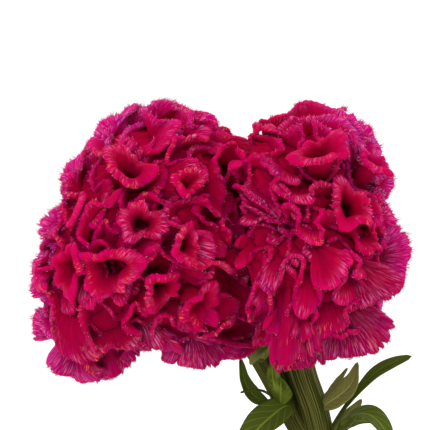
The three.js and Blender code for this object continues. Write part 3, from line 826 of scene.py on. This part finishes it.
def fringe_of(ring, comb, settings, rng):
    """Tufts all over a ring's rounded edge. They stand out from it across the sheet, with some spread, and
    their lengths rise and fall along the edge. They are longer and paler the less they lie to the front or
    back of the two combs or between them; that paleness is a painted rim light. Some are orange in patches."""
    middle, length = ring
    normal = sheet_normals(middle)
    count = int(length[-1] / (settings.tuft_spacing / MM))
    place = np.sort(rng.uniform(0, length[-1], count))
    index = np.clip(np.searchsorted(length, place, side="right") - 1, 0, len(middle) - 1)
    along = ((place - length[index]) / (length[index + 1] - length[index]))[:, None]
    following = (index + 1) % len(middle)

    def between(values):
        return values[index] * (1 - along) + values[following] * along

    ahead = unit(between(middle[:, -1] - middle[:, -2]))
    face = unit(between(normal[:, -1]))
    turn = rng.uniform(-1.3, 1.3, count)[:, None]
    out = np.cos(turn) * ahead + np.sin(turn) * face
    flat = np.cos(turn) * face - np.sin(turn) * ahead
    root = between(middle[:, -1]) + (LIP_HALF - 0.25) * out
    lift = 0.3 * unit(root - comb["centre"])
    direction = unit(out + lift + rng.normal(size=(count, 3)) * 0.2)
    waves = 0.5 + 0.3 * np.sin(place / 1.6 + 3 * np.sin(place / 7.0)) + 0.2 * np.sin(place / 0.7)
    patches = 0.55 + 0.45 * np.sin(place / 6 + 2 * np.sin(place / 17))
    size = settings.tuft_length / MM * (0.3 + 0.8 * waves * patches * rng.uniform(0.6, 1.3, count))
    width = settings.tuft_width / MM / 2 * rng.uniform(0.7, 1.2, count)
    facing = smoothstep(0.15, 0.6, np.abs(unit(root - HEAD_CENTRE)[:, 1]))
    facing = np.maximum(facing, 1 - smoothstep(12, 35, np.abs((root - PRESS_POINT) @ PRESS_NORMAL)))
    size = size * (1.4 - 0.65 * facing)
    # Paler tips round the outline: a painted rim light
    tint = 0.93 * rng.uniform(0, 1, count) ** (0.6 + 5 * facing)
    orange_patches = smoothstep(0.2, 0.9, np.sin(place / 9 + 3 * np.sin(place / 23)))
    orange = rng.uniform(0, 1, count) < 0.12 * orange_patches
    return tufts(root, direction, flat, size, width, np.where(orange, 1.0, tint))


# Stems and leaves


def through(points, count):
    """Points along a Catmull-Rom curve through the given ones, by the centripetal rule with its ends
    mirrored, as many as asked, with the unit direction ahead at each."""
    knots = np.array(points, float)
    knots = np.vstack([2 * knots[0] - knots[1], knots, 2 * knots[-1] - knots[-2]])
    place = np.linspace(0, len(points) - 1, count)
    index = np.minimum(place.astype(int), len(points) - 2)
    t = (place - index)[:, None]
    a, b, c, d = (knots[index + k] for k in range(4))

    def gap(p, q):
        return np.maximum(np.linalg.norm(q - p, axis=1, keepdims=True) ** 0.5, 1e-6)

    ab, bc, cd = gap(a, b), gap(b, c), gap(c, d)
    m1 = ((b - a) / ab - (c - a) / (ab + bc) + (c - b) / bc) * bc
    m2 = ((c - b) / bc - (d - b) / (bc + cd) + (d - c) / cd) * bc
    curve = b + m1 * t + (3 * (c - b) - 2 * m1 - m2) * t**2 + (2 * (b - c) + m1 + m2) * t**3
    return curve, unit(np.gradient(curve, axis=0))


def stem_surface(points, widths, swell, seed):
    """A ribbed stem: loops round the curve, a little flatter from front to back, their radius raised by a
    sine of the rib count and a finer one, tapered to a point at both hidden ends."""
    loops, sides = 90, 76
    curve, ahead = through(points, loops)
    side = unit(np.cross([0.0, 1.0, 0.0], ahead))
    front = np.cross(ahead, side)
    share = np.linspace(0, 1, loops)[:, None]
    angle = np.linspace(0, TAU, sides, endpoint=False)[None, :]
    width = widths[0] + (widths[1] - widths[0]) * share + swell * share**6
    drift = 0.5 * np.sin(5 * share + seed)
    ribs = 1 + 0.055 * np.cos(7 * angle + drift) + 0.02 * np.cos(19 * angle + 3 * share)
    closing = np.where((share == 0) | (share == 1), 1e-4, 1.0)
    half = width / 2 * ribs * closing
    points = (
        curve[:, None]
        + (half * np.cos(angle))[..., None] * side[:, None]
        + (half * 0.8 * np.sin(angle))[..., None] * front[:, None]
    )
    points[0], points[-1] = points[0].mean(0), points[-1].mean(0)
    return grid(points, arc_length(curve) * MM, np.linspace(0, 1, sides + 1) * 5, False, True)


def leaf_surface(midrib, width, roll, wave, broad, seed):
    """A leaf on a short stalk, as a thin closed sheet round its midrib, turned about it by roll. The half
    width grows and falls as a sine over the blade, the wider near the tip the greater broad is. The halves
    fold up from the midrib, the blade bulges between its side veins, and its edges wave by a sine."""
    curve, _ = through(midrib, 400)
    reached = arc_length(curve)
    u = np.linspace(0, 1, 34)
    centre = np.stack([np.interp(u * reached[-1], reached, curve[:, k]) for k in range(3)], 1)
    ahead = unit(np.gradient(centre, axis=0))
    way = unit((curve[-1] - curve[0]) * (1, 1, 0))
    top = unit(np.cross(ahead, [-way[1], way[0], 0]))
    side = np.cross(top, ahead)
    across = np.cos(roll) * side + np.sin(roll) * top
    face = np.cos(roll) * top - np.sin(roll) * side
    u, v = u[:, None], np.linspace(-1, 1, 13)[None, :]
    stalk = STALK_LENGTH / reached[-1]
    blade = np.clip((u - stalk) / (1 - stalk), 0, 1)
    spread = np.sin(np.pi * blade**broad)
    half = 0.75 + width / 2 * np.maximum(spread, 0) ** 0.9
    bulge = 0.035 * half * np.sin(VEIN_RATE * (u - VEIN_SLANT * np.abs(v)) + 1.5) * np.abs(v) * (1 - v**2)
    edge = 0.28 * np.abs(v) * half + wave * v**2 * np.sin(9 * u + 2 * v) * spread
    edge = edge + 0.35 * wave * v**4 * np.sin(31 * u + seed) * spread + bulge
    middle = centre[:, None] + (half * v)[..., None] * across[:, None] + edge[..., None] * face[:, None]
    normal = unit(np.cross(np.gradient(middle, axis=0), np.gradient(middle, axis=1)))
    stout = 1 - smoothstep(stalk, stalk + 0.1, u)
    thick = (0.3 + 0.25 * np.exp(-((v / 0.16) ** 2)) + 0.25 * stout)[..., None]
    over, under = middle - normal * thick, middle + normal * thick
    points = np.concatenate([over, under[:, ::-1]], 1)
    points[0], points[-1] = points[0].mean(0), points[-1].mean(0)
    return grid(points, u[:, 0], np.concatenate([v[0], 4 + v[0][::-1], [4.0 - 1]]), False, True)


def arc(start, azimuth, rise, length, droop):
    """Five points of a midrib that leaves the start at its azimuth and rise, and bends down evenly by its
    droop."""
    azimuth, rise, droop = (np.radians(a) for a in (azimuth, rise, droop))
    lift = rise - droop * np.linspace(0, 1, 5)
    forward = length * (np.sin(rise) - np.sin(lift)) / droop
    up = length * (np.cos(lift) - np.cos(rise)) / droop
    return start + np.stack([forward * np.cos(azimuth), forward * np.sin(azimuth), up], 1)


def all_leaves():
    """Every leaf, by its tone: those that the picture shows, then the lower ones in a spiral by the golden
    angle."""
    stems = {"main": through(MAIN_STEM, 1001)[0], "side": through(SIDE_STEM, 1001)[0]}
    made = {"green": [], "olive": []}
    for number, (stem, share, width, roll, broad, tone, places) in enumerate(SHOWN_LEAVES):
        midrib = [stems[stem][int(share * 1000)]] + [in_picture(*place) for place in places]
        made[tone].append(leaf_surface(midrib, width, np.radians(roll), 0.5, broad, number))
    for number in range(LOWER_LEAVES):
        t = number / (LOWER_LEAVES - 1)
        start = stems["main"][int(1000 * (0.27 + 0.17 * t))]
        midrib = arc(start, number * GOLDEN_ANGLE, 42 - 2 * t, 100 - 38 * t, 62 + 8 * t)
        made["green"].append(leaf_surface(midrib, 38 - 14 * t, 0.0, 1.2, 0.75, number))
    return made


# Pot and soil


def pot_radius(height):
    """Outer radius of the pot below its collar: a straight taper from foot to rim."""
    return POT_FOOT + (POT_RIM - POT_FOOT) * height / POT_HEIGHT


def inner_radius(height):
    """Radius of the soil at a height: the gap within the pot's wall."""
    return pot_radius(height) - POT_WALL - SEAT_GAP


def turned(profile, sides):
    """A closed surface of revolution through (radius, height) pairs that start and end on the axis."""
    profile = np.array(profile, float)
    around = np.linspace(0, TAU, sides, endpoint=False)[None, :]
    radius, height = profile[:, :1], profile[:, 1:]
    points = np.stack(np.broadcast_arrays(radius * np.cos(around), radius * np.sin(around), height), -1)
    return grid(points, np.linspace(0, 1, len(profile)), np.linspace(0, 1, sides + 1), False, True)


def soil_top(x, y):
    """Height of the soil: a low swell in the middle, slow waves and fine crumbs."""
    share = np.hypot(x, y) / (pot_radius(SOIL_TOP) - POT_WALL)
    slow = np.sin(0.31 * x + 1.3) * np.sin(0.27 * y + 0.4) + 0.6 * np.sin(0.62 * x - 0.55 * y)
    fine = np.sin(1.7 * x + 2 * np.sin(0.9 * y)) * np.sin(1.9 * y + 2 * np.sin(0.8 * x))
    return SOIL_TOP + 5 * (1 - share**2) + (2.2 * slow + 0.7 * fine) * (1 - share**6)


# Settings


def as_length(name, description, millimetres):
    return FloatProperty(name=name, description=description, default=millimetres * MM, unit="LENGTH")


def as_angle(name, description, radians):
    return FloatProperty(name=name, description=description, default=radians, unit="ROTATION")


def as_share(name, description, value):
    return FloatProperty(name=name, description=description, default=value, subtype="FACTOR")


def as_power(name, description, watts):
    return FloatProperty(name=name, description=description, default=watts, unit="POWER")


def as_colour(name, description, code):
    default = linear(code)
    return FloatVectorProperty(name=name, description=description, default=default, size=4, subtype="COLOR")


class CrestSettings(bpy.types.PropertyGroup):
    fold_length: as_length("Fold length", "Crest foot that one fold takes, to one side and back", 40)
    fold_reach: as_angle("Fold reach", "How far a fold swings to each side", 0.2)
    lean: as_angle("Lean", "How far every lip leans away from the crown", 0.06)
    ruffle: as_length("Ruffle", "Height of the small waves in the crest's edge", 1.3)
    small_ring: as_share("Small rings", "Size of the rings in the valleys", 0.5)
    roll: as_angle("Lip roll", "Turn of the sheet at its edge. Past a right angle its lip rolls over", 1.42)
    ring_step: as_angle("Ring step", "Angle between two rings of crest", 0.36)
    first_ring: as_angle("First ring", "Angle from the crown to the first ring", 0.16)
    last_ring: as_angle("Last ring", "Angle from the crown past which no ring stands", 2.94)
    core_share: as_share("Core", "Radius of the core as a share of the hull", 0.79)
    column_step: as_length("Mesh step", "Distance between the mesh's columns on a lip", 1.5)
    tuft_spacing: as_length("Tuft spacing", "Mean distance between the tufts on an edge", 0.27)
    tuft_length: as_length("Tuft length", "Length of the long tufts", 2.4)
    tuft_width: as_length("Tuft width", "Width of a tuft at its root", 0.4)
    crimson: as_colour("Crimson", "Flanks of the folds", "#a20034")
    magenta: as_colour("Magenta", "Lips of the folds", "#b60052")
    red: as_colour("Red", "Redder patches", "#a40032")
    purple: as_colour("Purple", "More purple patches", "#9a0050")
    fibre: as_colour("Fibre", "Pale fibres across the lips", "#e48ecc")
    bristle: as_colour("Bristle", "Short orange bristles", "#ea7444")


class FoliageSettings(bpy.types.PropertyGroup):
    main_width: as_length("Main stem", "Width of the main stem", 15)
    side_width: as_length("Side stem", "Width of the side stem", 9.5)
    green: as_colour("Stem green", "Skin of the stems", "#3c420a")
    leaf: as_colour("Leaf green", "Upper face of the leaves", "#343e08")
    olive: as_colour("Olive", "Young leaves and some bracts", "#6e7230")


class PotSettings(bpy.types.PropertyGroup):
    sides: IntProperty(name="Sides", description="Sides of the turned soil", default=144)
    clay: as_colour("Clay", "Fired clay", "#b4623f")
    soil: as_colour("Soil", "Damp peat", "#35261c")


class StageSettings(bpy.types.PropertyGroup):
    elevation: as_angle("Elevation", "Camera's height above the horizon", CAMERA_RISE)
    lens: FloatProperty(name="Lens", description="Focal length in millimetres", default=100)
    sky: FloatProperty(name="Soft light", description="Strength of the light from all round", default=1.03)
    key: as_power("Key light", "Power of the large front light", 8.0)
    rim: as_power("Rim lights", "Power of each light from behind", 4)


# Operators


class PLANT_OT_crests(bpy.types.Operator):
    """Builds both crests and the fringe on their edges"""

    bl_idname = "plant.crests"
    bl_label = "Crests"

    def execute(self, context):
        settings = context.scene.crest
        # Foot to edge: dark towards the foot as painted shade in the folds, then crimson and magenta
        velvety = [
            (0.0, linear("#6e0018")),
            (0.35, linear("#92002c")),
            (0.75, tuple(settings.crimson)),
            (0.98, tuple(settings.magenta)),
        ]
        # Root to rim of the fans: darker still and darkest at the root, as painted shade under the combs
        striated = [
            (0.0, linear("#400012")),
            (0.4, linear("#640024")),
            (0.8, linear("#800034")),
            (1.0, linear("#98044a")),
        ]
        tissue = velvet_crest(settings, "Velvety crest tissue", velvety, 0.6, 0.02)
        fan_tissue = velvet_crest(settings, "Striated crest fan", striated, 0.1, 0.4)
        hair = crest_hair(settings)
        for side, comb in COMBS.items():
            rings = crest_rings(comb, settings)
            half = len(rings) // 2
            fans = FANS[side]["velvety"] + FANS[side]["striated"]
            rings += [crest_cup(comb, *cup, number, settings) for number, cup in enumerate(comb["cups"])]
            rings += [crest_fan(*fan, number, settings) for number, fan in enumerate(fans)]
            plain = len(rings) - len(FANS[side]["striated"])
            sheets = [crest_sheet(*ring, number) for number, ring in enumerate(rings)]
            core = core_surface(comb, settings.core_share)
            parts = {"crown": sheets[:half] + [core], "skirt": sheets[half:plain]}
            for name, surfaces in parts.items():
                make_piece(f"crest_{side}_{name}", surfaces, tissue, "crimson_comb", f"comb_{side}")
            make_piece(f"fans_{side}", sheets[plain:], fan_tissue, "crimson_comb", f"comb_{side}")
            rng = np.random.default_rng(comb["seed"])
            fringe = [fringe_of(ring, comb, settings, rng) for ring in rings]
            make_piece(f"fringe_{side}_crown", fringe[:half], hair, "crimson_comb")
            make_piece(f"fringe_{side}_skirt", fringe[half:], hair, "crimson_comb")
        return {"FINISHED"}


class PLANT_OT_foliage(bpy.types.Operator):
    """Builds the two stems and all leaves"""

    bl_idname = "plant.foliage"
    bl_label = "Stems and leaves"

    def execute(self, context):
        settings = context.scene.foliage
        main, side = settings.main_width / MM, settings.side_width / MM
        stems = [
            stem_surface(MAIN_STEM, (main * 1.15, main), 12, 0.0),
            stem_surface(SIDE_STEM, (side, side), 9, 2.0),
        ]
        make_piece("stems", stems, fresh_stem(settings), "green_plant", "leafy_stem")
        greens = [(0.34, linear("#141a03")), (0.5, tuple(settings.leaf)), (0.64, linear("#667224"))]
        olives = [(0.34, linear("#4a501a")), (0.5, tuple(settings.olive)), (0.64, linear("#a4a264"))]
        blades = {
            "green": fresh_leaf("Green leaf blade", greens, linear("#748230"), linear("#445018")),
            "olive": fresh_leaf("Young olive leaf", olives, linear("#a4a05c"), linear("#76763e")),
        }
        for tone, surfaces in all_leaves().items():
            make_piece(f"{tone}_leaves", surfaces, blades[tone], "green_plant", "leafy_stem")
        return {"FINISHED"}


class PLANT_OT_pot(bpy.types.Operator):
    """Builds the soil, and gives the pot its fired clay"""

    bl_idname = "plant.pot"
    bl_label = "Pot and soil"

    def execute(self, context):
        settings = context.scene.pot
        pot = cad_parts["pot"]
        pot.material_slots[0].link = "OBJECT"
        pot.material_slots[0].material = fired_clay(settings)
        shoulder, foot = inner_radius(SOIL_TOP), inner_radius(POT_FLOOR)
        bottom = POT_FLOOR + SEAT_GAP
        rings = [(shoulder * (1 - t), SOIL_TOP) for t in np.linspace(0, 1, SOIL_RINGS)]
        points, faces, uvs = turned([(0, bottom), (foot, bottom), *rings], settings.sides)
        upper = points[:, 2] > SOIL_TOP - 1
        points[upper, 2] = soil_top(points[upper, 0], points[upper, 1])
        make_piece("soil_surface", [(points, faces, uvs)], damp_soil(settings), "potting_soil", "soil")
        return {"FINISHED"}


class PLANT_OT_stage(bpy.types.Operator):
    """Sets up the floor, the soft light and the camera at the picture's angle"""

    bl_idname = "plant.stage"
    bl_label = "Stage"

    def execute(self, context):
        settings = context.scene.stage
        scene = context.scene
        world = bpy.data.worlds.new("Soft studio light")
        world.use_nodes = True
        background = world.node_tree.nodes["Background"]
        background.inputs["Color"].default_value = (1, 1, 1, 1)
        background.inputs["Strength"].default_value = settings.sky
        scene.world = world
        scene.view_settings.view_transform = "Standard"

        mesh = bpy.data.meshes.new("floor")
        corners = [(x * FLOOR_REACH, y * FLOOR_REACH, 0) for x, y in ((-1, -1), (1, -1), (1, 1), (-1, 1))]
        mesh.from_pydata(corners, [], [(0, 1, 2, 3)])
        mesh.materials.append(pale_floor())
        floor = bpy.data.objects.new("floor", mesh)
        scene.collection.objects.link(floor)

        for name, place, power, size in (
            ("key_light", (-0.3, -1.1, 0.7), settings.key, 0.7),
            ("right_rim_light", (0.8, 0.6, 0.5), settings.rim, 0.6),
            ("left_rim_light", (-0.7, 0.7, 0.7), settings.rim, 0.6),
        ):
            data = bpy.data.lights.new(name, "AREA")
            data.energy, data.size = power, size
            light = bpy.data.objects.new(name, data)
            light.location = LIT_POINT + Vector(place)
            light.rotation_euler = (-Vector(place)).to_track_quat("-Z", "Y").to_euler()
            scene.collection.objects.link(light)

        data = bpy.data.cameras.new("camera")
        data.lens, data.sensor_width = settings.lens, 36
        camera = bpy.data.objects.new("camera", data)
        half = PICTURE / 2 * PIXEL * MM
        back = Vector((0, -np.cos(settings.elevation), np.sin(settings.elevation)))
        camera.location = Vector(AIM * MM) + back * (half / (data.sensor_width / 2 / data.lens))
        camera.rotation_euler = (-back).to_track_quat("-Z", "Y").to_euler()
        scene.collection.objects.link(camera)
        scene.camera = camera
        return {"FINISHED"}


class PLANT_PT_panel(bpy.types.Panel):
    """Lists the plant's steps and settings"""

    bl_idname = "PLANT_PT_panel"
    bl_label = "Potted cockscomb"
    bl_space_type = "VIEW_3D"
    bl_region_type = "UI"
    bl_category = "Plant"

    def draw(self, context):
        for operator, group in STEPS:
            box = self.layout.box()
            box.operator(operator.bl_idname)
            settings = getattr(context.scene, group)
            for name in settings.bl_rna.properties.keys():
                if name not in ("rna_type", "name"):
                    box.prop(settings, name)


STEPS = [
    (PLANT_OT_crests, "crest"),
    (PLANT_OT_foliage, "foliage"),
    (PLANT_OT_pot, "pot"),
    (PLANT_OT_stage, "stage"),
]
GROUPS = {"crest": CrestSettings, "foliage": FoliageSettings, "pot": PotSettings, "stage": StageSettings}
CLASSES = [*GROUPS.values(), *(operator for operator, _ in STEPS), PLANT_PT_panel]


def register():
    for item in CLASSES:
        bpy.utils.register_class(item)
    for name, group in GROUPS.items():
        setattr(bpy.types.Scene, name, PointerProperty(type=group))


def unregister():
    for name in GROUPS:
        delattr(bpy.types.Scene, name)
    for item in reversed(CLASSES):
        bpy.utils.unregister_class(item)


def main():
    register()
    bpy.ops.plant.crests()
    bpy.ops.plant.foliage()
    bpy.ops.plant.pot()
    bpy.ops.plant.stage()
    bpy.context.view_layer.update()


if __name__ == "__main__":
    main()
